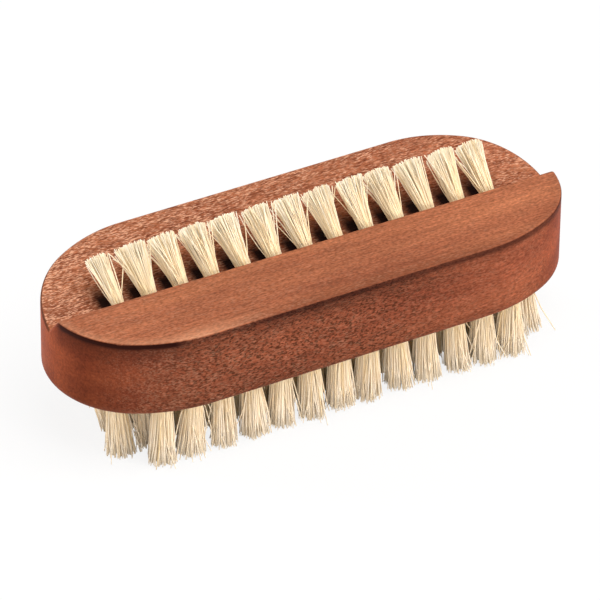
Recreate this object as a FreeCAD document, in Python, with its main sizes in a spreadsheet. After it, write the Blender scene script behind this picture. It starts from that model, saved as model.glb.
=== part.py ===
# Double-sided wooden nail brush: a milled wood handle block, one row of leaning nail tufts on top,
# and five rows of scrubbing tufts below. Every tuft is folded round a flat metal anchor that grips
# the wood near the bottom of its own blind hole. Millimetres, +X along the handle, +Y to the rear,
# +Z up. The origin is under the middle of the block, level with the tips of the scrubbing tufts.
import FreeCAD
import Part
import Sketcher
import math
import os

# Tufts in the nail row, and in each scrubbing row from the front to the rear. The outer scrubbing rows are
# shorter, to follow the rounded ends.
NAIL_COUNT = 13
SCRUB_ROW_COUNTS = (13, 15, 15, 15, 13)

# Driving dimensions. Heights on the block are measured from its flat underside, depths from a hole's mouth.
# The nose arcs are tighter than half the width by an inset, and the arcs beside them wider by an excess.
DIMENSIONS = {
    "block_length": 95.0,
    "block_width": 34.5,
    "nose_inset": 1.4,
    "blend_excess": 11.35,
    "rail_height": 14.7,
    "rail_depth": 15.15,
    "rear_rim_height": 16.3,
    "rim_radius": 0.5,
    "bottom_radius": 1.85,
    "scoop_length": 49.0,
    "scoop_height": 8.6,
    "scoop_depth": 1.1,
    "scoop_top_margin": 1.2,
    "nail_lean_degrees": 50.0,
    "nail_end_margin": 12.22,
    "nail_wall_margin": 0.88,
    "nail_hole_diameter": 2.8,
    "nail_hole_depth": 7.0,
    "nail_free_length": 9.5,
    "nail_tip_gap": 1.28,
    "scrub_end_margin": 8.65,
    "scrub_side_margin": 5.15,
    "scrub_hole_wall": 2.15,
    "scrub_hole_web": 1.4,
    "scrub_free_length": 11.8,
    "scrub_tip_gap": 0.35,
    "anchor_thickness": 0.4,
    "anchor_height": 1.5,
    "anchor_bite": 0.6,
    "fold_thickness": 0.8,
    "tuft_clearance": 0.05,
    "anchor_clearance": 0.03,
    "overrun": 2.0,
}

# Sizes that follow from the driving dimensions. The nail tufts stand square to the rail's rear wall, so the
# wall slopes by the angle that they lean. The scrubbing holes keep a wall between neighbours, along the rows
# and across them, and stop a web short of the nail holes.
LEAN = "(nail_lean_degrees * 1deg)"
DERIVED = {
    "nose_radius": "=block_width / 2 - nose_inset",
    "blend_radius": "=block_width / 2 + blend_excess",
    "notch_height": f"=rail_height - (nail_hole_diameter + 2 * nail_wall_margin) * sin{LEAN}",
    "rail_rear_y": "=rail_depth - block_width / 2",
    "notch_y": f"=rail_rear_y + (rail_height - notch_height) / tan{LEAN}",
    "deck_rise_share": "=(rear_rim_height - notch_height) / (block_width / 2 - notch_y)",
    "scoop_centre_height": "=rail_height - scoop_top_margin - scoop_height / 2",
    "scoop_wheel_radius": "=(scoop_length ^ 2 / 4 + scoop_depth ^ 2) / (2 * scoop_depth)",
    "scoop_rim_radius": "=(scoop_height ^ 2 / 4 + scoop_depth ^ 2) / (2 * scoop_depth)",
    "nail_base_y": "=(rail_rear_y + notch_y) / 2",
    "nail_base_height": "=(rail_height + notch_height) / 2",
    "nail_hole_drop": f"=nail_hole_depth * cos{LEAN} + nail_hole_diameter / 2 * sin{LEAN}",
    "nail_pitch": f"=(block_length - 2 * nail_end_margin) / {NAIL_COUNT - 1}",
    "nail_tip_diameter": "=nail_pitch - nail_tip_gap",
    "scrub_pitch": f"=(block_length - 2 * scrub_end_margin) / {max(SCRUB_ROW_COUNTS) - 1}",
    "scrub_row_pitch": f"=(block_width - 2 * scrub_side_margin) / {len(SCRUB_ROW_COUNTS) - 1}",
    "scrub_spacing": "=min(scrub_pitch; scrub_row_pitch)",
    "scrub_hole_diameter": "=scrub_spacing - scrub_hole_wall",
    "scrub_hole_depth": "=nail_base_height - nail_hole_drop - scrub_hole_web",
    "scrub_tip_diameter": "=scrub_spacing - scrub_tip_gap",
    "slit_height": "=anchor_height + 2 * anchor_clearance",
    "slit_thickness": "=anchor_thickness + 2 * anchor_clearance",
    "nail_slit_depth": "=nail_hole_depth - fold_thickness - slit_height",
    "scrub_slit_depth": "=scrub_hole_depth - fold_thickness - slit_height",
    "nail_slit_width": "=nail_hole_diameter + 2 * (anchor_bite + anchor_clearance)",
    "scrub_slit_width": "=scrub_hole_diameter + 2 * (anchor_bite + anchor_clearance)",
}

# Sketch point numbers, the sketch's own origin, and the angle through which a scoop cutter swings.
START, END, CENTRE = range(1, 4)
ORIGIN = (-1, 1)
SCOOP_SWING_DEGREES = 60

# How far each family of tufts turns about X from pointing straight up.
TURN = {"nail": "-sizes.nail_lean_degrees", "scrub": "180"}

os.makedirs("parts", exist_ok=True)
doc = FreeCAD.newDocument("nail_brush")
sheet = doc.addObject("Spreadsheet::Sheet", "sizes")
for row, (alias, content) in enumerate({**DIMENSIONS, **DERIVED}.items(), start=1):
    sheet.set(f"A{row}", alias)
    sheet.set(f"B{row}", str(content))
    sheet.setAlias(f"B{row}", alias)
doc.recompute()


def size(expression):
    """Current value of an expression in the sheet's names, where None stands for zero."""
    return 0.0 if expression is None else float(sheet.evalExpression(expression))


def point(x, y):
    return FreeCAD.Vector(size(x), size(y), 0)


def origin_feature(body, role):
    return next(feature for feature in body.Origin.OriginFeatures if feature.Role == role)


def new_body(label):
    body = doc.addObject("PartDesign::Body", label)
    body.Label = label
    body.AllowCompound = True
    return body


def new_sketch(body, name, role):
    sketch = body.newObject("Sketcher::SketchObject", name)
    sketch.AttachmentSupport = [(origin_feature(body, role), "")]
    sketch.MapMode = "FlatFace"
    return sketch


def set_frame(target, path, turn, x, y, z):
    """Bind a placement to the sheet: its origin at x, y, z, turned about X by an angle in degrees."""
    turned = FreeCAD.Rotation(FreeCAD.Vector(1, 0, 0), size(turn))
    setattr(target, path, FreeCAD.Placement(FreeCAD.Vector(0, 0, 0), turned))
    target.setExpression(f"{path}.Rotation.Angle", turn)
    for axis, expression in (("x", x), ("y", y), ("z", z)):
        if expression is not None:
            target.setExpression(f"{path}.Base.{axis}", expression)


def constrain(sketch, kind, references, expression):
    index = sketch.addConstraint(Sketcher.Constraint(kind, *references, size(expression)))
    sketch.setExpression(f"Constraints[{index}]", expression)


def place_point(sketch, place, x, y):
    """Fix a sketch point at x and y, each an expression in the sheet's names, or None for zero."""
    for kind, expression, axis in (("DistanceX", x, -2), ("DistanceY", y, -1)):
        if expression is None:
            sketch.addConstraint(Sketcher.Constraint("PointOnObject", *place, axis))
        elif size(expression) > 0:
            constrain(sketch, kind, (*ORIGIN, *place), expression)
        else:
            constrain(sketch, kind, (*place, *ORIGIN), f"-({expression})")


def add_polygon(sketch, corners):
    """Closed outline through corners, each a pair of expressions."""
    first = sketch.GeometryCount
    places = [point(*corner) for corner in corners]
    for start, end in zip(places, places[1:] + places[:1]):
        sketch.addGeometry(Part.LineSegment(start, end))
    lines = list(range(first, first + len(corners)))
    for line, following in zip(lines, lines[1:] + lines[:1]):
        sketch.addConstraint(Sketcher.Constraint("Coincident", line, END, following, START))
    for line, corner in zip(lines, corners):
        place_point(sketch, (line, START), *corner)


def add_circle(sketch, x, y, radius):
    circle = sketch.addGeometry(Part.Circle(point(x, y), FreeCAD.Vector(0, 0, 1), size(radius)))
    place_point(sketch, (circle, CENTRE), x, y)
    constrain(sketch, "Radius", (circle,), radius)


def add_rectangle(sketch, x, y, width, height):
    """Rectangle about the point x, y."""
    left, right = (f"{x or 0} {sign} {width} / 2" for sign in "-+")
    low, high = (f"{y or 0} {sign} {height} / 2" for sign in "-+")
    add_polygon(sketch, [(left, low), (right, low), (right, high), (left, high)])


def add_feature(body, kind, name, profile, **bound):
    feature = body.newObject(f"PartDesign::{kind}", name)
    feature.Profile = profile
    for path, expression in bound.items():
        feature.setExpression(path, expression)
    return feature


def repeat_along_x(body, name, originals, count, pitch):
    pattern = body.newObject("PartDesign::LinearPattern", name)
    pattern.Originals = originals
    pattern.Direction = (origin_feature(body, "X_Axis"), [""])
    pattern.Occurrences = count
    pattern.setExpression("Length", f"{count - 1} * {pitch}")
    body.Tip = pattern


def check_cut(body, before):
    """A cut that points away from the solid removes nothing, so the volume has to drop."""
    doc.recompute()
    if not body.Shape.Volume < before:
        raise RuntimeError(f"{body.Label}: {body.Tip.Label} removed nothing")
    return body.Shape.Volume


def add_block_outline(sketch):
    """Plan of the handle: two straight sides, and at each end a nose arc between two blend arcs."""
    half_width = size("sizes.block_width / 2")
    nose = size("sizes.nose_radius")
    blend = size("sizes.blend_radius")
    nose_x = size("sizes.block_length / 2") - nose
    reach = math.sqrt((blend - nose) ** 2 - (blend - half_width) ** 2)
    blend_x = nose_x - reach
    blend_y = blend - half_width
    turn = math.atan2(blend_y, reach)
    quarter = math.pi / 2

    def side(x, y):
        return sketch.addGeometry(Part.LineSegment(FreeCAD.Vector(-x, y), FreeCAD.Vector(x, y)))

    def arc(x, y, radius, start, end):
        circle = Part.Circle(FreeCAD.Vector(x, y), FreeCAD.Vector(0, 0, 1), radius)
        return sketch.addGeometry(Part.ArcOfCircle(circle, start, end))

    # Anticlockwise from the front side, so that each piece starts where the one before it ends.
    loop = [
        side(blend_x, -half_width),
        arc(blend_x, blend_y, blend, -quarter, -turn),
        arc(nose_x, 0, nose, -turn, turn),
        arc(blend_x, -blend_y, blend, turn, quarter),
        side(-blend_x, half_width),
        arc(-blend_x, -blend_y, blend, quarter, math.pi - turn),
        arc(-nose_x, 0, nose, math.pi - turn, math.pi + turn),
        arc(-blend_x, blend_y, blend, math.pi + turn, math.pi + quarter),
    ]
    front, front_right, right, rear_right, rear, rear_left, left, front_left = loop
    for piece, following in zip(loop, loop[1:] + loop[:1]):
        sketch.addConstraint(Sketcher.Constraint("Tangent", piece, END, following, START))
    for straight in (front, rear):
        sketch.addConstraint(Sketcher.Constraint("Horizontal", straight))
    for other in (rear_right, rear_left, front_left):
        sketch.addConstraint(Sketcher.Constraint("Equal", front_right, other))
    sketch.addConstraint(Sketcher.Constraint("Equal", right, left))
    constrain(sketch, "Radius", (right,), "sizes.nose_radius")
    constrain(sketch, "Radius", (front_right,), "sizes.blend_radius")
    place_point(sketch, (right, CENTRE), "sizes.block_length / 2 - sizes.nose_radius", None)
    place_point(sketch, (left, CENTRE), "sizes.nose_radius - sizes.block_length / 2", None)
    constrain(sketch, "DistanceY", (front, START, *ORIGIN), "sizes.block_width / 2")
    constrain(sketch, "DistanceY", (*ORIGIN, rear, START), "sizes.block_width / 2")


def add_top_profile(sketch):
    """What is milled off the top: level over the rail, down its rear wall, then up the deck to the rim."""
    front = "-sizes.block_width / 2 - sizes.overrun"
    rear = "sizes.block_width / 2 + sizes.overrun"
    clear = "sizes.rear_rim_height + 2 * sizes.overrun"
    add_polygon(sketch, [
        (front, "sizes.rail_height"),
        ("sizes.rail_rear_y", "sizes.rail_height"),
        ("sizes.notch_y", "sizes.notch_height"),
        (rear, "sizes.rear_rim_height + sizes.deck_rise_share * sizes.overrun"),
        (rear, clear),
        (front, clear),
    ])


def add_scoop_profile(sketch):
    """Rim of the round cutter that hollows the front side, and the upright axis that it turns on."""
    reach = "-sizes.block_width / 2 + sizes.scoop_depth"
    height = "sizes.scoop_centre_height"
    add_circle(sketch, f"{reach} - sizes.scoop_rim_radius", height, "sizes.scoop_rim_radius")
    axis_y = f"{reach} - sizes.scoop_wheel_radius"
    axis = sketch.addGeometry(Part.LineSegment(point(axis_y, None), point(axis_y, height)), True)
    place_point(sketch, (axis, START), axis_y, None)
    place_point(sketch, (axis, END), axis_y, height)


def round_edges(body, name, radius, wanted):
    base = body.Tip
    edges = [f"Edge{i}" for i, edge in enumerate(base.Shape.Edges, start=1) if wanted(edge.BoundBox)]
    fillet = body.newObject("PartDesign::Fillet", name)
    fillet.Base = (base, edges)
    fillet.setExpression("Radius", radius)
    doc.recompute()


def scrub_row_y(index):
    """Place of a scrubbing row across the block, or None for the row on the middle line."""
    steps = index - (len(SCRUB_ROW_COUNTS) - 1) / 2
    return f"{steps} * sizes.scrub_row_pitch" if steps else None


def set_below_mouths(sketch, family, depth):
    """Lay a sketch on the face that a family of tufts comes out of, or a depth below that face."""
    if family == "nail":
        lean = "(sizes.nail_lean_degrees * 1deg)"
        y = f"sizes.nail_base_y - {depth} * sin{lean}"
        z = f"sizes.nail_base_height - {depth} * cos{lean}"
        set_frame(sketch, "AttachmentOffset", TURN["nail"], None, y, z)
    else:
        set_frame(sketch, "AttachmentOffset", TURN["scrub"], None, None, depth)


def drill_holes(body, family, name, count, rows):
    """Blind holes in the block, and across each one the slit that its anchor bites into the wood."""
    first_x = f"-{(count - 1) / 2} * sizes.{family}_pitch"
    holes = new_sketch(body, f"{name}_hole_plan", "XY_Plane")
    set_below_mouths(holes, family, "0")
    for row_y in rows:
        add_circle(holes, first_x, row_y, f"sizes.{family}_hole_diameter / 2")
    slits = new_sketch(body, f"{name}_slit_plan", "XY_Plane")
    set_below_mouths(slits, family, f"sizes.{family}_slit_depth")
    for row_y in rows:
        add_rectangle(slits, first_x, row_y, "sizes.slit_thickness", f"sizes.{family}_slit_width")
    for plan, cut_name, depth in (
        (holes, f"{name}_hole", f"sizes.{family}_hole_depth"),
        (slits, f"{name}_slit", "sizes.slit_height"),
    ):
        before = body.Shape.Volume
        cut = add_feature(body, "Pocket", cut_name, plan, Length=depth)
        check_cut(body, before)
        repeat_along_x(body, f"{cut_name}s", [cut], count, f"sizes.{family}_pitch")
        check_cut(body, before)


def make_tufts(label, family, x, y, z, count):
    """Bundles of fibre: a round root that fills its hole, slotted for the anchor, then a trimmed flare."""
    body = new_body(label)
    set_frame(body, "Placement", TURN[family], x, y, z)
    root_end = f"sizes.tuft_clearance - sizes.{family}_hole_depth"
    root_radius = f"sizes.{family}_hole_diameter / 2 - sizes.tuft_clearance"
    tip_radius = f"sizes.{family}_tip_diameter / 2"
    free_length = f"sizes.{family}_free_length"
    profile = new_sketch(body, f"{label}_profile", "XZ_Plane")
    add_polygon(profile, [
        (None, root_end),
        (root_radius, root_end),
        (root_radius, None),
        (tip_radius, free_length),
        (None, free_length),
    ])
    bundle = add_feature(body, "Revolution", f"{label}_bundle", profile)
    bundle.ReferenceAxis = (profile, ["V_Axis"])
    doc.recompute()
    before = body.Shape.Volume
    slot = new_sketch(body, f"{label}_slot_plan", "XY_Plane")
    slot.setExpression("AttachmentOffset.Base.z", f"-sizes.{family}_slit_depth")
    add_rectangle(slot, None, None, "sizes.slit_thickness", f"sizes.{family}_slit_width")
    slot_cut = add_feature(body, "Pocket", f"{label}_slot", slot, Length="sizes.slit_height")
    check_cut(body, before)
    if count > 1:
        repeat_along_x(body, f"{label}_row", [bundle, slot_cut], count, f"sizes.{family}_pitch")
    return body


def make_anchors(label, family, x, y, z, count):
    """Flat metal strips, one across each hole, with both ends bitten into the wood."""
    body = new_body(label)
    set_frame(body, "Placement", TURN[family], x, y, z)
    plan = new_sketch(body, f"{label}_plan", "XY_Plane")
    plan.setExpression("AttachmentOffset.Base.z", f"-sizes.{family}_slit_depth - sizes.anchor_clearance")
    width = f"(sizes.{family}_slit_width - 2 * sizes.anchor_clearance)"
    add_rectangle(plan, None, None, "sizes.anchor_thickness", width)
    strip = add_feature(body, "Pad", f"{label}_strip", plan, Length="sizes.anchor_height")
    strip.Reversed = True
    repeat_along_x(body, f"{label}_row", [strip], count, f"sizes.{family}_pitch")
    return body


# Handle block: blank, milled top, rounded edges, finger scoops, then the drilling
block = new_body("handle_block")
block.setExpression("Placement.Base.z", "sizes.scrub_free_length")
outline = new_sketch(block, "block_outline", "XY_Plane")
add_block_outline(outline)
add_feature(block, "Pad", "blank", outline, Length="sizes.rear_rim_height + sizes.overrun")
doc.recompute()

volume = block.Shape.Volume
top_profile = new_sketch(block, "top_profile", "YZ_Plane")
add_top_profile(top_profile)
top_cut = add_feature(block, "Pocket", "milled_top", top_profile, Length="sizes.block_length + sizes.overrun")
top_cut.SideType = "Symmetric"
volume = check_cut(block, volume)

notch_height = size("sizes.notch_height")
near = size("sizes.rim_radius")


def is_rim(box):
    """Top edges, but for the upright ones and the inner corner along the bottom of the notch."""
    return box.ZMin > notch_height - near and box.ZMax > notch_height + near


def is_bottom(box):
    return box.ZMax < near


round_edges(block, "rounded_rim", "sizes.rim_radius", is_rim)
round_edges(block, "rounded_bottom", "sizes.bottom_radius", is_bottom)
volume = check_cut(block, volume)

scoop_profile = new_sketch(block, "scoop_profile", "YZ_Plane")
add_scoop_profile(scoop_profile)
scoop = add_feature(block, "Groove", "front_scoop", scoop_profile)
scoop.ReferenceAxis = (scoop_profile, ["Axis0"])
scoop.Angle = SCOOP_SWING_DEGREES
scoop.Midplane = True
volume = check_cut(block, volume)
both_scoops = block.newObject("PartDesign::Mirrored", "rear_scoop")
both_scoops.Originals = [scoop]
both_scoops.MirrorPlane = (origin_feature(block, "XZ_Plane"), [""])
block.Tip = both_scoops
check_cut(block, volume)

for count in sorted(set(SCRUB_ROW_COUNTS)):
    rows = [scrub_row_y(index) for index, tufts in enumerate(SCRUB_ROW_COUNTS) if tufts == count]
    drill_holes(block, "scrub", f"scrub_row_of_{count}", count, rows)
drill_holes(block, "nail", "nail", NAIL_COUNT, [None])

# Nail row: one leaning tuft to each hole in the rail's rear wall, numbered from the left
pieces = [block]
nail_height = "sizes.scrub_free_length + sizes.nail_base_height"
nail_x = [f"{index - (NAIL_COUNT - 1) / 2} * sizes.nail_pitch" for index in range(NAIL_COUNT)]
for index, x in enumerate(nail_x, start=1):
    pieces.append(make_tufts(f"nail_tuft_{index:02d}", "nail", x, "sizes.nail_base_y", nail_height, 1))
pieces.append(make_anchors(
    "nail_row_anchors", "nail", nail_x[0], "sizes.nail_base_y", nail_height, NAIL_COUNT
))

# Scrubbing rows, numbered from the front
for index, count in enumerate(SCRUB_ROW_COUNTS):
    row_x = f"-{(count - 1) / 2} * sizes.scrub_pitch"
    frame = (row_x, scrub_row_y(index), "sizes.scrub_free_length")
    pieces.append(make_tufts(f"scrub_tufts_row_{index + 1}", "scrub", *frame, count))
    pieces.append(make_anchors(f"scrub_anchors_row_{index + 1}", "scrub", *frame, count))

doc.recompute()
for item in doc.Objects:
    if {"Invalid", "Error"} & set(item.State):
        raise RuntimeError(f"{item.Label} failed: {item.State}")
for piece in pieces:
    if piece.Shape.isNull() or not piece.Shape.isValid():
        raise RuntimeError(f"{piece.Label} has no valid shape")
for piece in pieces:
    piece.Shape.exportStep(f"parts/{piece.Label}.step")
    print(f"{piece.Label}: {len(piece.Shape.Solids)} solids, {piece.Shape.Volume:.1f} mm3")
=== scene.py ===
# %% [markdown]
# # A double-sided wooden nail brush
# The brush is a block of oiled reddish-brown wood with a leaning row of nail tufts on top and five rows of
# scrubbing tufts below. The block and the metal anchors come ready made from the construction model. This
# lesson gives them their finishes, and plants every tuft again as loose bristles, because a solid cone of
# fibre looks like plastic.

# %% Load the construction model
import math

import bpy
import numpy as np
from mathutils import Matrix, Vector


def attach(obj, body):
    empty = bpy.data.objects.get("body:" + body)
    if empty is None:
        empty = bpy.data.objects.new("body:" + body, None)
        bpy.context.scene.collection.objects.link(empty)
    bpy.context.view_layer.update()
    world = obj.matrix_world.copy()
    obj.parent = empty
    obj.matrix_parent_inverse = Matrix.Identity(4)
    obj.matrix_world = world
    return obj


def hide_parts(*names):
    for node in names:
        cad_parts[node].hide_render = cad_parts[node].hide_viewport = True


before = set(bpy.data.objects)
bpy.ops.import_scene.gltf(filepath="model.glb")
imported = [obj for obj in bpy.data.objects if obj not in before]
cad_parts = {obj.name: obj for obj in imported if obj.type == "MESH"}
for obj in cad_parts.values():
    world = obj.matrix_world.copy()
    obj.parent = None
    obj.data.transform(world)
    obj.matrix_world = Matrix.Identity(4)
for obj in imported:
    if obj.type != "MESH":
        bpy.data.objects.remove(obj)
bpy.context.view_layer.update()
bpy.ops.object.select_all(action="DESELECT")
scene = bpy.context.scene
MM = 0.001
print("nodes:", len(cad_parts))

# %% [markdown]
# ## Camera
# The view looks down on the front left corner from about a metre away through a long lens, so the long sides
# stay nearly parallel. The camera could be placed by eye, but its angles were worked out from the edges of
# the block, so they are written down: turn about the upright axis, tilt, a trace of roll, then step back.

# %% Place the camera
AZIMUTH = math.radians(-29.48)
ELEVATION = math.radians(34.86)
ROLL = math.radians(0.68)
DISTANCE = 990.6 * MM
AIM = Vector((0, 0, 11.8 * MM))
LENS_MM = 353.3
SHIFT_X = -0.00566
SHIFT_Y = 0.01785

bpy.ops.object.camera_add()
camera = bpy.context.object
camera.name = "camera"
turned = Matrix.Rotation(AZIMUTH, 4, "Z") @ Matrix.Rotation(math.pi / 2 - ELEVATION, 4, "X")
turned = turned @ Matrix.Rotation(ROLL, 4, "Z")
camera.matrix_world = Matrix.Translation(AIM) @ turned @ Matrix.Translation((0, 0, DISTANCE))
camera.data.lens = LENS_MM
camera.data.shift_x = SHIFT_X
camera.data.shift_y = SHIFT_Y
scene.camera = camera
print("camera at", [round(v, 3) for v in camera.matrix_world.translation])

# %% [markdown]
# ## Nodes and colours
# Each finish is a small web of shader nodes. Adding them by hand means one click for the node, one for each
# setting and one for each wire, and one function can do all three. The steps that come back in every finish
# get a short name each. Colours are picked as they look on a screen, so another function turns a screen
# colour into the linear light that the shaders count in.

# %% Helpers for materials
def linear(screen_hex):
    """Linear RGBA for a colour written as six sRGB hex digits."""
    channels = [int(screen_hex[start:start + 2], 16) / 255 for start in (0, 2, 4)]
    return (*[c / 12.92 if c <= 0.04045 else ((c + 0.055) / 1.055) ** 2.4 for c in channels], 1.0)


def add_node(tree, kind, inputs=None, **settings):
    """Add a node with its settings, then wire or fill its inputs. A node there means its first output."""
    node = tree.nodes.new("ShaderNode" + kind)
    for name, value in settings.items():
        setattr(node, name, value)
    for name, value in (inputs or {}).items():
        if isinstance(value, bpy.types.Node):
            value = value.outputs[0]
        if isinstance(value, bpy.types.NodeSocket):
            tree.links.new(value, node.inputs[name])
        else:
            node.inputs[name].default_value = value
    return node


def remap(tree, value, source, target=(0, 1)):
    """Turn one range of values into another, and hold at its ends."""
    return add_node(tree, "MapRange", {0: value, 1: source[0], 2: source[1], 3: target[0], 4: target[1]})


def multiply(tree, value, *factors):
    """Multiply a value by each factor in turn."""
    for factor in factors:
        value = add_node(tree, "Math", {0: value, 1: factor}, operation="MULTIPLY")
    return value


def tinted(tree, colour, tint):
    """Multiply a colour by another one, or by a value."""
    return add_node(tree, "VectorMath", {0: colour, 1: tint}, operation="MULTIPLY")


def blend(tree, share, under, over):
    """Lay a colour over another one, by a share from 0 to 1."""
    return add_node(tree, "MixRGB", {0: share, 1: under, 2: over})


# Nearly all values of a noise lie in this range
NOISE_RANGE = (0.3, 0.7)


def noise(tree, vector, size_mm, detail, w=None):
    """Noise with features of about a size in millimetres. Each value of w gives a pattern of its own."""
    inputs = {"Vector": vector, "Scale": 1 / (size_mm * MM), "Detail": detail}
    if w is None:
        return add_node(tree, "TexNoise", inputs)
    return add_node(tree, "TexNoise", {**inputs, "W": w}, noise_dimensions="4D")


def colour_ramp(tree, value, stops):
    """Ramp through stops, each a position and a linear colour, from left to right."""
    ramp = add_node(tree, "ValToRGB", {0: value})
    elements = ramp.color_ramp.elements
    for element, (position, colour) in ((elements[0], stops[0]), (elements[1], stops[-1])):
        element.position = position
        element.color = colour
    for position, colour in stops[1:-1]:
        elements.new(position).color = colour
    return ramp


def new_material(name):
    """An empty material and its node tree."""
    material = bpy.data.materials.new(name)
    material.use_nodes = True
    material.node_tree.nodes.clear()
    return material, material.node_tree


print("linear value of screen grey 808080:", round(linear("808080")[0], 3))

# %% [markdown]
# ## Floor, world and light
# The brush stands on a white studio floor. A backdrop could be modelled as a curved sheet, but a white world
# behind a white floor gives the same empty picture. Rays from the camera and rays off shiny things see plain
# white there, while the light that falls on the brush comes from a dimmer sky, one large soft lamp high in
# front, and weaker ones low on each side and in front, which reach under the block.

# %% Make the floor
FLOOR_WIDTH = 4
FLOOR_GLOW = 0.85


def seen_directly(tree):
    """1 for rays from the camera, off shiny things or through clear ones, 0 for light on the brush."""
    ray = add_node(tree, "LightPath")
    seen = ray.outputs["Is Camera Ray"]
    for kind in ("Is Glossy Ray", "Is Transmission Ray"):
        seen = add_node(tree, "Math", {0: seen, 1: ray.outputs[kind]}, operation="MAXIMUM")
    return seen


bpy.ops.mesh.primitive_plane_add(size=FLOOR_WIDTH)
floor = bpy.context.object
floor.name = "studio_floor"

material, tree = new_material("matt white studio floor")
glow_share = multiply(tree, seen_directly(tree), FLOOR_GLOW)
matt = add_node(tree, "BsdfDiffuse", {"Color": linear("F4F3F1")})
glow = add_node(tree, "Emission", {"Color": linear("FFFFFF"), "Strength": 1.0})
mixed = add_node(tree, "MixShader", {0: glow_share, 1: matt, 2: glow})
add_node(tree, "OutputMaterial", {"Surface": mixed})
floor.data.materials.append(material)
print("floor glow", FLOOR_GLOW)

# %% Light the scene
SKY_LEVEL = 0.40

world = bpy.data.worlds.new("soft studio")
scene.world = world
world.use_nodes = True
tree = world.node_tree
tree.nodes.clear()
level = remap(tree, seen_directly(tree), (0, 1), (SKY_LEVEL, 1.0))
sky = add_node(tree, "Background", {"Color": linear("FFFFFF"), "Strength": level})
add_node(tree, "OutputWorld", {"Surface": sky})

# Name, place, watts and width of each lamp: the main one, then one low on each side and two low in front
LAMPS = (
    ("key_light", (0.22, -0.56, 1.45), 19.6, 1.6),
    ("right_fill", (1.20, -0.50, 0.36), 4.8, 0.6),
    ("left_rim", (-0.90, 1.00, 0.28), 12.0, 0.6),
    ("front_right_fill", (0.25, -0.45, 0.08), 0.96, 0.18),
    ("front_left_fill", (-0.62, -1.20, 0.20), 3.9, 0.5),
)
for name, location, watts, width in LAMPS:
    bpy.ops.object.light_add(type="AREA", location=location)
    lamp = bpy.context.object
    lamp.name = name
    lamp.data.energy = watts
    lamp.data.shape = "DISK"
    lamp.data.size = width
    lamp.rotation_euler = (AIM - lamp.location).to_track_quat("-Z", "Y").to_euler()
scene.view_settings.view_transform = "Standard"
print("sky level", SKY_LEVEL, "and", len(LAMPS), "lamps")

# %% [markdown]
# ## Oiled wood
# The block is milled from a fine-grained reddish hardwood, such as pear or thermally treated beech, and
# oiled. Its grain runs the length of the handle. A picture of wood could be wrapped round it, but the
# pattern would not meet at the edges, so the grain is drawn in three dimensions from noise stretched along
# X: long streaks on the sides and the top, and a calm face on the rounded ends, as in a real plank. The
# deck under the nail tufts was milled and left rough, so it catches light in flecks. The sides are dotted
# with short dark pores. Light and shade are painted into the colour too: dark lines under the rim of the
# rail and on the rim behind the deck, shade in the notch, on the sides, the ends and the lower part, and
# light on the left end and towards the right. The top of the rail's rim is paler on the left.

# %% Wood: coordinates and the faces they lie on
NOTCH_Y = 0.83 * MM
NOTCH_BLUR = 0.3 * MM
NOSE_CENTRE_X = 31.65 * MM

wood, tree = new_material("oiled reddish hardwood, milled and sanded")
place = add_node(tree, "TexCoord").outputs["Object"]
axes = add_node(tree, "SeparateXYZ", {0: place})
facing = add_node(tree, "SeparateXYZ", {0: add_node(tree, "NewGeometry").outputs["Normal"]})
upright = add_node(tree, "Math", {0: facing.outputs["Z"]}, operation="ABSOLUTE")
endward = add_node(tree, "Math", {0: facing.outputs["X"]}, operation="ABSOLUTE")
off_middle = add_node(tree, "Math", {0: axes.outputs["X"]}, operation="ABSOLUTE")
on_side = remap(tree, upright, (0.80, 0.55))
on_end = remap(tree, endward, (0.30, 0.85))
on_top = remap(tree, facing.outputs["Z"], (0.80, 0.93))
behind_notch = remap(tree, axes.outputs["Y"], (NOTCH_Y - NOTCH_BLUR, NOTCH_Y + NOTCH_BLUR))
on_deck = multiply(tree, on_top, behind_notch)

# How far a point lies from the spine between the two nose centres, which tells how near the rim it is
past_nose = add_node(tree, "Math", {0: off_middle, 1: NOSE_CENTRE_X}, operation="SUBTRACT")
past_nose = add_node(tree, "Math", {0: past_nose, 1: 0.0}, operation="MAXIMUM")
from_spine = add_node(tree, "CombineXYZ", {0: past_nose, 1: axes.outputs["Y"]})
from_spine = add_node(tree, "VectorMath", {0: from_spine}, operation="LENGTH")
from_spine = from_spine.outputs["Value"]
near_rim = multiply(tree, remap(tree, from_spine, (13.8 * MM, 16.6 * MM)), on_top)
print("wood masks: side, end, top, deck, rim")

# %% Wood: grain, pores and flecks
FIGURE_MM = 5.0
GRAIN_MM = 0.45
SPECK_MM = 0.32
PORE_MM = 0.26
FLECK_MM = 0.18
GROOVE_MM = 0.20
PATCH_MM = 1.6

# Coordinates in which a pattern comes out longer along the grain, by how many times
stretched = {}
for times in (2, 4, 8, 18):
    stretched[times] = add_node(tree, "Mapping", {"Vector": place, "Scale": (1 / times, 1, 1)})

figure = noise(tree, stretched[8], FIGURE_MM, 3.0)
grain = noise(tree, stretched[18], GRAIN_MM, 3.0)
speck = noise(tree, stretched[2], SPECK_MM, 2.0)
pores = remap(tree, noise(tree, stretched[2], PORE_MM, 1.5, w=2.0), (0.51, 0.40))
flecks = remap(tree, noise(tree, stretched[4], FLECK_MM, 2.5, w=4.0), (0.47, 0.66))
patches = remap(tree, noise(tree, stretched[2], PATCH_MM, 2.0, w=9.0), (0.36, 0.60), (0.35, 1.0))
flecks = multiply(tree, flecks, patches)
grooves = remap(tree, noise(tree, stretched[8], GROOVE_MM, 2.0, w=7.0), (0.48, 0.34))
print("wood pattern sizes in mm:", FIGURE_MM, GRAIN_MM, SPECK_MM, PORE_MM, FLECK_MM, GROOVE_MM, PATCH_MM)

# %% Wood: colour
SPECK_CONTRAST = 0.34
RIM_FLECKS = 0.45
GROOVE_DARKNESS = 0.85
REAR_RIM_DARKNESS = 0.8

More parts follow.
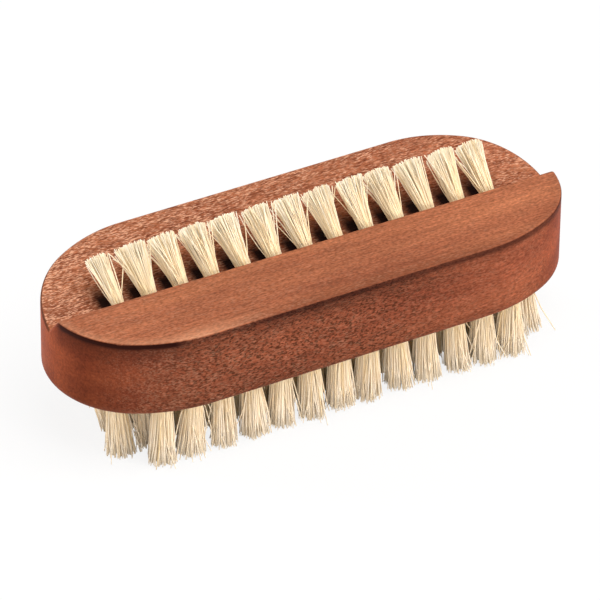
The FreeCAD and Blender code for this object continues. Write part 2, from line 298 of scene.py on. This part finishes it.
tone = colour_ramp(tree, figure, ((0.30, linear("8E5037")), (0.70, linear("AC6847"))))
streak = remap(tree, grain, NOISE_RANGE, (0.80, 1.20))
calm = remap(tree, on_end, (0, 1), (1.0, 0.35))
mottle = remap(tree, speck, NOISE_RANGE, (-SPECK_CONTRAST, SPECK_CONTRAST))
mottle = add_node(tree, "Math", {0: mottle, 1: calm, 2: 1.0}, operation="MULTIPLY_ADD")
# Painted light: the whole block is painted lighter towards the right end
painted_light_right = remap(tree, axes.outputs["X"], (5 * MM, 32 * MM), (1.02, 1.14))
streaked = tinted(tree, tone, multiply(tree, streak, mottle, painted_light_right))

# Partly painted shade and partly oil: the sides are darker than the top, and the rounded ends darker still
tint = blend(tree, on_end, linear("C7B4B2"), linear("C8957C"))
tint = blend(tree, on_side, linear("FFFFFF"), tint)
oiled = tinted(tree, streaked, tint)
# Painted light and shade: the sides get darker towards the left end
side_light_slope = remap(tree, axes.outputs["X"], (-40 * MM, 32 * MM), (0.88, 1.02))
side_light_slope = blend(tree, on_side, linear("FFFFFF"), side_light_slope)
oiled = tinted(tree, oiled, side_light_slope)

# Painted light and shade: the left nose is paler where it faces the back and darker where it turns to the
# front
on_left = remap(tree, facing.outputs["X"], (-0.50, -0.85))
left_end_light = remap(tree, facing.outputs["Y"], (-0.45, 0.35), (0.95, 1.7))
left_end_light = tinted(tree, left_end_light, (1.06, 1.28, 1.38))
left_end_light = blend(tree, on_left, linear("FFFFFF"), left_end_light)
oiled = tinted(tree, oiled, left_end_light)

# Painted shade: the block gets darker towards the bottom
lower = remap(tree, axes.outputs["Z"], (12 * MM, 19 * MM), (0.78, 1.0))
oiled = tinted(tree, oiled, lower)

# Dark pores on the sides, fewer towards both ends
pore_share = remap(tree, axes.outputs["X"], (30 * MM, 6 * MM), (0.05, 0.95))
pores_left = remap(tree, axes.outputs["X"], (-40 * MM, -28 * MM), (0.10, 1.0))
pore_share = multiply(tree, pore_share, pores_left)
side_pores = multiply(tree, pores, on_side, pore_share)
colour = blend(tree, side_pores, oiled, linear("42200F"))

# Pale flecks on the rough deck, more to the left, a few elsewhere, and dark grooves between them
fleck_share = remap(tree, on_deck, (0, 1), (0.12, 1.0))
not_side = add_node(tree, "Math", {0: 1.0, 1: on_side}, operation="SUBTRACT")
not_end = add_node(tree, "Math", {0: 1.0, 1: on_end}, operation="SUBTRACT")
leftward = remap(tree, axes.outputs["X"], (10 * MM, -36 * MM), (1.0, 2.0))
fleck_share = multiply(tree, fleck_share, leftward)
rim_share = multiply(tree, near_rim, RIM_FLECKS)
fleck_share = add_node(tree, "Math", {0: fleck_share, 1: rim_share}, operation="MAXIMUM")
fleck_share = multiply(tree, fleck_share, flecks, not_end)
colour = blend(tree, fleck_share, colour, linear("E6AA88"))
groove_share = multiply(tree, on_deck, grooves, GROOVE_DARKNESS)
colour = blend(tree, groove_share, colour, linear("6A2F1C"))

# Painted shade: a dark line on the rounded rim behind the deck
edge = remap(tree, facing.outputs["Z"], (0.93, 0.82))
rounded = remap(tree, facing.outputs["Z"], (0.15, 0.45))
edge = multiply(tree, edge, behind_notch, rounded, REAR_RIM_DARKNESS)
colour = blend(tree, edge, colour, linear("4A2414"))
print("wood colour built")

# %% Wood: painted shadow in the notch
NAIL_PITCH = 5.88
FOOT_SHIFT = 0.6

# Painted shadow: the notch under the leaning tufts is dark, darkest at the foot of each tuft
notch_shadow = remap(tree, axes.outputs["Y"], (NOTCH_Y + 6.2 * MM, NOTCH_Y + 2.8 * MM))
in_row = remap(tree, off_middle, (40.0 * MM, 37.0 * MM))
turn = add_node(tree, "Math", {
    0: axes.outputs["X"], 1: 2 * math.pi / (NAIL_PITCH * MM), 2: FOOT_SHIFT * 2 * math.pi / NAIL_PITCH,
}, operation="MULTIPLY_ADD")
wave = add_node(tree, "Math", {0: turn}, operation="COSINE")
at_foot = remap(tree, wave, (-0.7, 0.6), (0.35, 1.0))
notch_shadow = multiply(tree, notch_shadow, in_row, at_foot, on_deck)
colour = blend(tree, notch_shadow, colour, linear("220D07"))
print("notch_shade every", NAIL_PITCH, "mm")

# %% Wood: the rim of the rail
LENGTH_MM = 95
RIM_CURVE = 1.7
# How dark the painted shade under the rim is, at places along the brush in millimetres: black round the left
# end
RIM_SHADE = (
    (-47.5, 0.94), (-33, 1.00), (-30, 0.52), (-24, 0.56), (-14, 0.78),
    (1, 0.80), (15, 0.70), (25, 0.76), (33, 0.76), (45, 0.66),
)

front = remap(tree, axes.outputs["Y"], (-1 * MM, -3 * MM))
along = remap(tree, axes.outputs["X"], (-LENGTH_MM / 2 * MM, LENGTH_MM / 2 * MM))
rim_shade_stops = [(x / LENGTH_MM + 0.5, (share, share, share, 1)) for x, share in RIM_SHADE]
rim_shade_share = colour_ramp(tree, along, rim_shade_stops)

# Painted shade: a dark line under the rim of the rail, fading down the side below it
line = remap(tree, axes.outputs["Z"], (24.5 * MM, 25.7 * MM))
fade = remap(tree, axes.outputs["Z"], (21.5 * MM, 25.0 * MM), (0, 0.5))
fade_right = remap(tree, axes.outputs["X"], (6 * MM, 36 * MM), (1.0, 0.25))
fade = multiply(tree, fade, fade_right)
line = add_node(tree, "Math", {0: line, 1: fade}, operation="MAXIMUM")
line = multiply(tree, line, rim_shade_share, on_side, front)
colour = blend(tree, line, colour, linear("220602"))

# On top the rim is paler on the left. From the middle to the right it is painted darker towards its rounded
# front, as painted shade of the rounding
pale_rim = remap(tree, axes.outputs["X"], (-14 * MM, -28 * MM), (0, 0.32))
pale_rim = multiply(tree, pale_rim, near_rim, front)
rounding_shade = remap(tree, from_spine, (12.8 * MM, 17.2 * MM))
rounding_shade = add_node(tree, "Math", {0: rounding_shade, 1: RIM_CURVE}, operation="POWER")
rounding_shade_from = remap(tree, axes.outputs["X"], (-26 * MM, -8 * MM), (0, 0.7))
rounding_shade = multiply(tree, rounding_shade, rounding_shade_from, not_side, front)
colour = blend(tree, pale_rim, colour, linear("DDA580"))
colour = blend(tree, rounding_shade, colour, linear("64321F"))
print("rim shade drawn at", len(RIM_SHADE), "places along the rail")

# %% Wood: surface
SPECK_RELIEF = 0.3
RELIEF_MM = 0.10

height = add_node(tree, "Math", {0: flecks, 1: grooves}, operation="SUBTRACT")
height = multiply(tree, height, on_deck)
height = add_node(tree, "Math", {0: height, 1: side_pores}, operation="SUBTRACT")
height = add_node(tree, "Math", {0: speck, 1: SPECK_RELIEF, 2: height}, operation="MULTIPLY_ADD")
bump = add_node(tree, "Bump", {"Height": height, "Strength": 0.5, "Distance": RELIEF_MM * MM})
gloss = remap(tree, on_end, (0, 1), (0.65, 0.50))
shader = add_node(tree, "BsdfPrincipled", {
    "Base Color": colour,
    "Roughness": gloss,
    "Normal": bump,
    "IOR": 1.45,
    "Specular IOR Level": 0.06,
})
add_node(tree, "OutputMaterial", {"Surface": shader})

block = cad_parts["handle_block"]
block.data.materials.clear()
block.data.materials.append(wood)
print("wood nodes:", len(tree.nodes))

# %% [markdown]
# ## Anchor steel
# Each tuft is held by a short flat strip cut from drawn steel wire and driven into the hole edgewise. The
# strips are out of sight at the bottom of the holes, but anyone who opens the model finds them there, so
# they get the fine scratches that the drawing die leaves along the wire.

# %% Anchor strips
DIE_SCRATCH_MM = 0.06
DIE_STRETCH = 20
SCRATCH_RELIEF_MM = 0.01

steel, tree = new_material("drawn steel wire, flattened")
place = add_node(tree, "TexCoord").outputs["Object"]
drawn = add_node(tree, "Mapping", {"Vector": place, "Scale": (1, 1 / DIE_STRETCH, 1)})
scratch = noise(tree, drawn, DIE_SCRATCH_MM, 2.0)
shade = colour_ramp(tree, scratch, ((0.3, linear("8E8F90")), (0.7, linear("C2C2C0"))))
rough = remap(tree, scratch, NOISE_RANGE, (0.28, 0.46))
bump = add_node(tree, "Bump", {"Height": scratch, "Strength": 0.3, "Distance": SCRATCH_RELIEF_MM * MM})
shader = add_node(tree, "BsdfPrincipled", {
    "Base Color": shade,
    "Metallic": 1.0,
    "Roughness": rough,
    "Normal": bump,
})
add_node(tree, "OutputMaterial", {"Surface": shader})

anchors = [node for name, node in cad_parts.items() if "anchors" in name]
for node in anchors:
    node.data.materials.clear()
    node.data.materials.append(steel)
print("anchor strips finished in", len(anchors), "nodes")

# %% [markdown]
# ## One bristle
# A bristle is a stiff plant fibre, a little over a fifth of a millimetre thick. It is folded in half round
# its anchor, so both of its ends show. There are thousands, so one is modelled with few faces: a four-sided
# rod with a ring at each place where a copy may have to bend. Hair particles could grow the tufts too, but
# they can't be folded round an anchor, and a finished part needs closed meshes.

# %% Model the bristle
SIDES = 4
LEG_STOPS = (1.0, 0.64, 0.30, 0.0)
HIDDEN_RINGS = 3
RINGS = 2 * len(LEG_STOPS) + HIDDEN_RINGS

bpy.ops.object.select_all(action="DESELECT")
bpy.ops.mesh.primitive_circle_add(vertices=SIDES, radius=1, fill_type="NGON")
rod = bpy.context.object
bpy.ops.object.mode_set(mode="EDIT")
bpy.ops.mesh.select_all(action="SELECT")
for _ in range(RINGS - 1):
    bpy.ops.mesh.extrude_region_move(TRANSFORM_OT_translate={"value": (0, 0, 1)})
bpy.ops.mesh.select_all(action="SELECT")
bpy.ops.mesh.normals_make_consistent(inside=False)
bpy.ops.object.mode_set(mode="OBJECT")
rod_points = np.array([vertex.co[:] for vertex in rod.data.vertices])
rod_faces = [list(face.vertices) for face in rod.data.polygons]
rod_ring = np.rint(rod_points[:, 2]).astype(int)
bpy.data.objects.remove(rod)
print("one bristle:", len(rod_points), "points,", len(rod_faces), "faces,", RINGS, "rings")

# %% [markdown]
# ## The line of a bristle
# Seen from its hole, a tuft is a fan. The hole grips the bristles into a round bundle, and beyond the mouth
# each one leans outwards the more the nearer it stands to the rim. Bristles that touch stick together in
# little locks, a few stray far from the rest, and the trimming shears leave the tips nearly level. All of
# that is drawn from a seeded random generator, so every run grows the same tufts.

# %% Draw the lines of a tuft
GOLDEN_ANGLE = math.pi * (3 - math.sqrt(5))
MOUTH_JITTER_MM = 0.05
LOCK_SPREAD = 0.9
LOCK_PULL_RANGE = (0.3, 1.0)
DROOP = 0.10
STRAY_BOW = 2.5
LATE_SPLAY = 0.3
SQUEEZE = 0.5
FOLD_DROP_MM = 0.35
FOLD_NESTING = 0.2


def bristle_lines(rng, kind, lean):
    """Centre lines of a tuft's folded bristles, in millimetres: up is out of the hole, from its mouth.

    Also tells how far inside the tuft each bristle stands, from 0 at the rim to 1 in the middle.
    """
    legs = 2 * kind["bristles"]
    order = np.arange(legs)
    radius = kind["hole_radius"] * ((order + 0.5) / legs) ** kind["crowding"]
    angle = order * GOLDEN_ANGLE + rng.uniform(0, 2 * math.pi)
    mouth = np.stack([radius * np.cos(angle), radius * np.sin(angle)], axis=1)
    mouth += rng.normal(0, MOUTH_JITTER_MM, mouth.shape)

    # Tips: an even fan, drawn together into locks, then a little lost order of each bristle's own
    tip = mouth * kind["fan"]
    locks = rng.uniform(-1, 1, (kind["locks"], 2)) * kind["hole_radius"] * kind["fan"] * LOCK_SPREAD
    gaps = np.linalg.norm(tip[:, None] - locks[None], axis=2)
    nearest = gaps.argmin(axis=1)
    tip += (locks[nearest] - tip) * kind["lock_pull"] * rng.uniform(*LOCK_PULL_RANGE, (legs, 1))
    tip += rng.normal(0, kind["disorder"], tip.shape) + lean
    strays = rng.random(legs) < kind["stray_share"]
    tip[strays] += rng.normal(0, kind["stray_reach"], (strays.sum(), 2))

    # Length: the shears cut level, and leaning bristles end a little lower
    reach = kind["free_length"] - np.abs(rng.normal(0, kind["ragged"], legs))
    reach -= DROOP * np.linalg.norm(tip - mouth - lean, axis=1)
    bow = rng.normal(0, kind["bow"], (legs, 2)) * np.where(strays, STRAY_BOW, 1.0)[:, None]

    stops = np.array(LEG_STOPS)[None, :, None]
    splay = (1 - LATE_SPLAY) * stops + LATE_SPLAY * stops ** 2
    sideways = mouth[:, None] + (tip - mouth)[:, None] * splay
    sideways = sideways + bow[:, None] * np.sin(math.pi * stops)
    free = np.concatenate([sideways, reach[:, None, None] * stops], axis=2)

    # Pair each leg on the left of the anchor with one on its right, front to back
    by_side = np.argsort(mouth[:, 0])
    left = by_side[:kind["bristles"]]
    right = by_side[kind["bristles"]:]
    left = left[np.argsort(mouth[left, 1])]
    right = right[np.argsort(mouth[right, 1])]
    bend_y = (mouth[left, 1] + mouth[right, 1]) / 2
    deep = np.full_like(bend_y, -kind["anchor_depth"])
    beside = kind["anchor_gap"] + SQUEEZE * np.abs(mouth[:, 0])
    down = np.stack([-beside[left], mouth[left, 1], deep], axis=1)
    bend_z = deep - FOLD_DROP_MM - FOLD_NESTING * np.abs(mouth[left, 0])
    fold = np.stack([np.zeros_like(bend_y), bend_y, bend_z], axis=1)
    back = np.stack([beside[right], mouth[right, 1], deep], axis=1)
    hidden = np.stack([down, fold, back], axis=1)
    inside = 1 - (radius[left] + radius[right]) / (2 * kind["hole_radius"])
    return np.concatenate([free[left], hidden, free[right][:, ::-1]], axis=1), inside


print("each line has", RINGS, "points, from one tip round the anchor to the other tip")

# %% [markdown]
# ## From lines to bristles
# By hand, a copy of the rod would be bent along each line with a curve. For thousands of lines the same is
# done on the points of the rod at once: each ring moves to its place on the line and turns to face along it.
# Each bristle also keeps its own tone, and how far along it each point is, as attributes for the finish.

# %% Copy the bristle along the lines
TIP_TAPER = 0.28
SMOOTH_ANGLE = math.radians(100)


def lay_bristles(name, lines, thickness, tones, across):
    """One mesh with a copy of the rod along each line. Lines are in metres, across is the folds' axis."""
    count = len(lines)
    along = np.gradient(lines, axis=1)
    along /= np.linalg.norm(along, axis=2, keepdims=True)
    out = np.cross(np.broadcast_to(across, along.shape), along)
    out /= np.linalg.norm(out, axis=2, keepdims=True)
    flat = np.cross(along, out)

    # Full thickness in the hole, finer at the tips
    step = np.abs(np.linspace(-1, 1, RINGS))
    taper = 1.0 - TIP_TAPER * step ** 2
    width = (thickness / 2)[:, None] * taper[None]
    points = lines[:, rod_ring]
    points = points + (width[:, rod_ring] * rod_points[:, 0])[..., None] * out[:, rod_ring]
    points = points + (width[:, rod_ring] * rod_points[:, 1])[..., None] * flat[:, rod_ring]

    size = len(rod_points)
    faces = [[corner + copy * size for corner in face] for copy in range(count) for face in rod_faces]
    mesh = bpy.data.meshes.new(name)
    mesh.from_pydata(points.reshape(-1, 3), [], faces)
    tone = mesh.attributes.new("tone", "FLOAT", "POINT")
    tone.data.foreach_set("value", np.repeat(tones, size).astype(np.float32))
    tipward = mesh.attributes.new("tipward", "FLOAT", "POINT")
    tipward.data.foreach_set("value", np.tile(step[rod_ring], count).astype(np.float32))
    tuft = bpy.data.objects.new(name, mesh)
    scene.collection.objects.link(tuft)
    bpy.ops.object.select_all(action="DESELECT")
    tuft.select_set(True)
    bpy.context.view_layer.objects.active = tuft
    bpy.ops.object.shade_smooth_by_angle(angle=SMOOTH_ANGLE)
    return tuft


print("bristles are laid", SIDES, "sides round")

# %% [markdown]
# ## Bristle fibre
# The bristles are undyed plant fibre, cream to straw, with a dull wax on them. No two are alike, so the
# colour follows the tone that each bristle carries, is a little yellower and darker where it leaves the wood
# and paler at the cut tip, partly the fibre's own colour and partly painted shade, and is mottled along its
# length. The scrubbing side is the same fibre in a coarser grade.

# %% Finish the bristles
MOTTLE_MM = 0.9
MOTTLE_SHARE = 0.4


def bristle_finish(name, dark, middle, light, root_tint):
    """Fibre finish: three tones from the bristle's own tone value, and a tint towards the root that is
    partly painted shade.
    """
    material, tree = new_material(name)
    place = add_node(tree, "TexCoord").outputs["Object"]
    tone = add_node(tree, "Attribute", attribute_name="tone").outputs["Fac"]
    tipward = add_node(tree, "Attribute", attribute_name="tipward").outputs["Fac"]
    mottle = noise(tree, place, MOTTLE_MM, 2.0)
    tone = add_node(tree, "Math", {0: mottle, 1: MOTTLE_SHARE, 2: tone}, operation="MULTIPLY_ADD")
    tone = add_node(tree, "Math", {0: tone, 1: MOTTLE_SHARE / 2}, operation="SUBTRACT")
    ramp = colour_ramp(tree, tone, ((0, linear(dark)), (0.45, linear(middle)), (1, linear(light))))
    # Partly painted shade: yellower and darker towards the root, near the wood
    root_tint_and_shade = remap(tree, tipward, (0.30, 0.90), (0.70, 0.0))
    colour = blend(tree, root_tint_and_shade, ramp, linear(root_tint))
    shader = add_node(tree, "BsdfPrincipled", {
        "Base Color": colour,
        "Roughness": 0.52,
        "IOR": 1.45,
        "Sheen Weight": 0.6,
        "Sheen Roughness": 0.4,
        "Sheen Tint": linear("FFF1D8"),
    })
    add_node(tree, "OutputMaterial", {"Surface": shader})
    return material


nail_fibre = bristle_finish("undyed plant fibre, fine", "F8DCAC", "FFEDCC", "FFF6E2", "F4D296")
scrub_fibre = bristle_finish("undyed plant fibre, coarse", "E8CA96", "F8E6CB", "FCF1E1", "EACB90")
print("fibre finishes:", nail_fibre.name, "and", scrub_fibre.name)

# %% [markdown]
# ## Nail tufts
# Thirteen tufts stand square to the wall behind the rail, leaning back over the deck. Each is a piece of its
# own. They could all be copies of one tuft, but the eye finds a repeated tuft at once, so each one is grown
# from its own seed.

# %% Plant the nail tufts
THICKNESS_RANGE = (0.8, 1.15)
TONE_MEAN = 0.5
NAIL_TONE_SPREAD = 0.22
NAIL_LEAN_JITTER_MM = 0.18
NAIL_SEED = 100
NAIL = {
    "bristles": 150, "thickness": 0.21, "hole_radius": 1.18, "fan": 1.95, "crowding": 0.38,
    "locks": 9, "lock_pull": 0.25, "disorder": 0.24, "stray_share": 0.06, "stray_reach": 1.3,
    "free_length": 9.5, "ragged": 0.35, "bow": 0.10, "anchor_depth": 5.3, "anchor_gap": 0.33,
}
# The first hole holds fewer bristles than the rest
THIN_NAIL = {**NAIL, "bristles": 80, "hole_radius": 0.88, "free_length": 9.2}
# How far the tips of each tuft lean to the right, in millimetres
NAIL_LEANS = (-0.5, 0.0, -0.2, -0.3, -0.5, -0.1, -0.4, 0.0, 0.3, -0.3, -0.5, 0.2, -0.1)
NAIL_COUNT = len(NAIL_LEANS)
NAIL_MOUTH = np.array([0.0, -0.634, 24.753])
LEAN_BACK = math.radians(50)
nail_axes = np.array([
    [1, 0, 0],
    [0, math.cos(LEAN_BACK), -math.sin(LEAN_BACK)],
    [0, math.sin(LEAN_BACK), math.cos(LEAN_BACK)],
])

nail_tufts = []
for number in range(1, NAIL_COUNT + 1):
    rng = np.random.default_rng(NAIL_SEED + number)
    kind = THIN_NAIL if number == 1 else NAIL
    lean = np.array([NAIL_LEANS[number - 1], rng.normal(0, NAIL_LEAN_JITTER_MM)])
    lines, _ = bristle_lines(rng, kind, lean)
    lines = lines @ nail_axes + NAIL_MOUTH
    lines[..., 0] += (number - (NAIL_COUNT + 1) / 2) * NAIL_PITCH
    thickness = NAIL["thickness"] * rng.uniform(*THICKNESS_RANGE, len(lines)) * MM
    tones = rng.normal(TONE_MEAN, NAIL_TONE_SPREAD, len(lines))
    tuft = lay_bristles(f"nail_bristles_{number:02d}", lines * MM, thickness, tones, nail_axes[1])
    tuft.data.materials.append(nail_fibre)
    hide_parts(f"nail_tuft_{number:02d}")
    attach(tuft, "root")
    nail_tufts.append(tuft)
print("nail tufts:", len(nail_tufts), "of", len(nail_tufts[0].data.polygons), "faces each")

# %% [markdown]
# ## Scrubbing rows
# Under the block stand five rows of thicker tufts, thirteen in the outer rows and fifteen in the inner ones.
# They point straight down and are trimmed level, since the brush stands on them. A row is one piece, joined
# from its tufts, as it is in the construction model.

# %% Plant the scrubbing rows
SCRUB = {
    "bristles": 150, "thickness": 0.23, "hole_radius": 1.58, "fan": 1.45, "crowding": 0.38,
    "locks": 8, "lock_pull": 0.28, "disorder": 0.30, "stray_share": 0.05, "stray_reach": 1.7,
    "free_length": 11.8, "ragged": 0.35, "bow": 0.16, "anchor_depth": 4.3, "anchor_gap": 0.36,
}
# Tufts that stand out, by row and place: how far the tips lean to the right and to the front, in
# millimetres, and what else differs. The two at the far left are bent inwards, and the farther one is worn
# short. The right end is splayed.
ODD_TUFTS = {
    (1, 0): ((-0.5, 0), {}),
    (1, 1): ((0, 0), {}),
    (1, 4): ((0.1, 0), {}),
    (1, 7): ((0, 0), {}),
    (1, 9): ((0.7, 0), {}),
    (1, 10): ((0.9, 0), {}),
    (1, 11): ((0.5, 0), {"fan": 1.60}),
    (1, 12): ((0.4, 0), {"fan": 1.60}),
    (2, 0): ((0.2, 1.0), {}),
    (2, 1): ((0.3, 0.9), {}),
    (2, 13): ((0.5, 0.8), {"fan": 1.60}),
    (2, 14): ((0.6, 1.6), {"fan": 1.70}),
    (3, 0): ((2.7, 0.2), {"fan": 1.30}),
    (4, 0): ((2.7, 0.5), {"fan": 1.30, "free_length": 9.8}),
}
USUAL_LEAN = (0.5, 0)
SCRUB_LEAN_JITTER_MM = 0.15
SCRUB_TONE_SPREAD = 0.17
SCRUB_SEED = 200
SCRUB_PITCH = 5.55
SCRUB_ROW_PITCH = 6.05
SCRUB_ROW_COUNTS = (13, 15, 15, 15, 13)
WOOD_UNDERSIDE = 11.8
# Painted shade: bristles inside a tuft, and the tufts behind the front row but for two at each end, get a
# darker, more golden tone
INNER_SHADE = 0.10
BACK_ROW_SHADE = 0.45
down_axes = np.diag([1.0, -1.0, -1.0])

scrub_rows = []
for row, count in enumerate(SCRUB_ROW_COUNTS, start=1):
    lines = []
    straw = []
    rng = np.random.default_rng(SCRUB_SEED + row)
    for spot in range(count):
        lean, changes = ODD_TUFTS.get((row, spot), (USUAL_LEAN, {}))
        lean = np.array(lean) + rng.normal(0, SCRUB_LEAN_JITTER_MM, 2)
        tuft_lines, inside = bristle_lines(rng, {**SCRUB, **changes}, lean)
        centre_x = (spot - (count - 1) / 2) * SCRUB_PITCH
        centre_y = (row - (len(SCRUB_ROW_COUNTS) + 1) / 2) * SCRUB_ROW_PITCH
        lines.append(tuft_lines @ down_axes + np.array([centre_x, centre_y, WOOD_UNDERSIDE]))
        behind = row > 1 and 1 < spot < count - 2
        straw.append(INNER_SHADE * inside + (BACK_ROW_SHADE if behind else 0))
    lines = np.concatenate(lines)
    thickness = SCRUB["thickness"] * rng.uniform(*THICKNESS_RANGE, len(lines)) * MM
    tones = rng.normal(TONE_MEAN, SCRUB_TONE_SPREAD, len(lines)) - np.concatenate(straw)
    tufts = lay_bristles(f"scrub_bristles_row_{row}", lines * MM, thickness, tones, down_axes[1])
    tufts.data.materials.append(scrub_fibre)
    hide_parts(f"scrub_tufts_row_{row}")
    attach(tufts, "root")
    scrub_rows.append(tufts)
print("scrubbing rows:", [len(tufts.data.polygons) for tufts in scrub_rows], "faces")
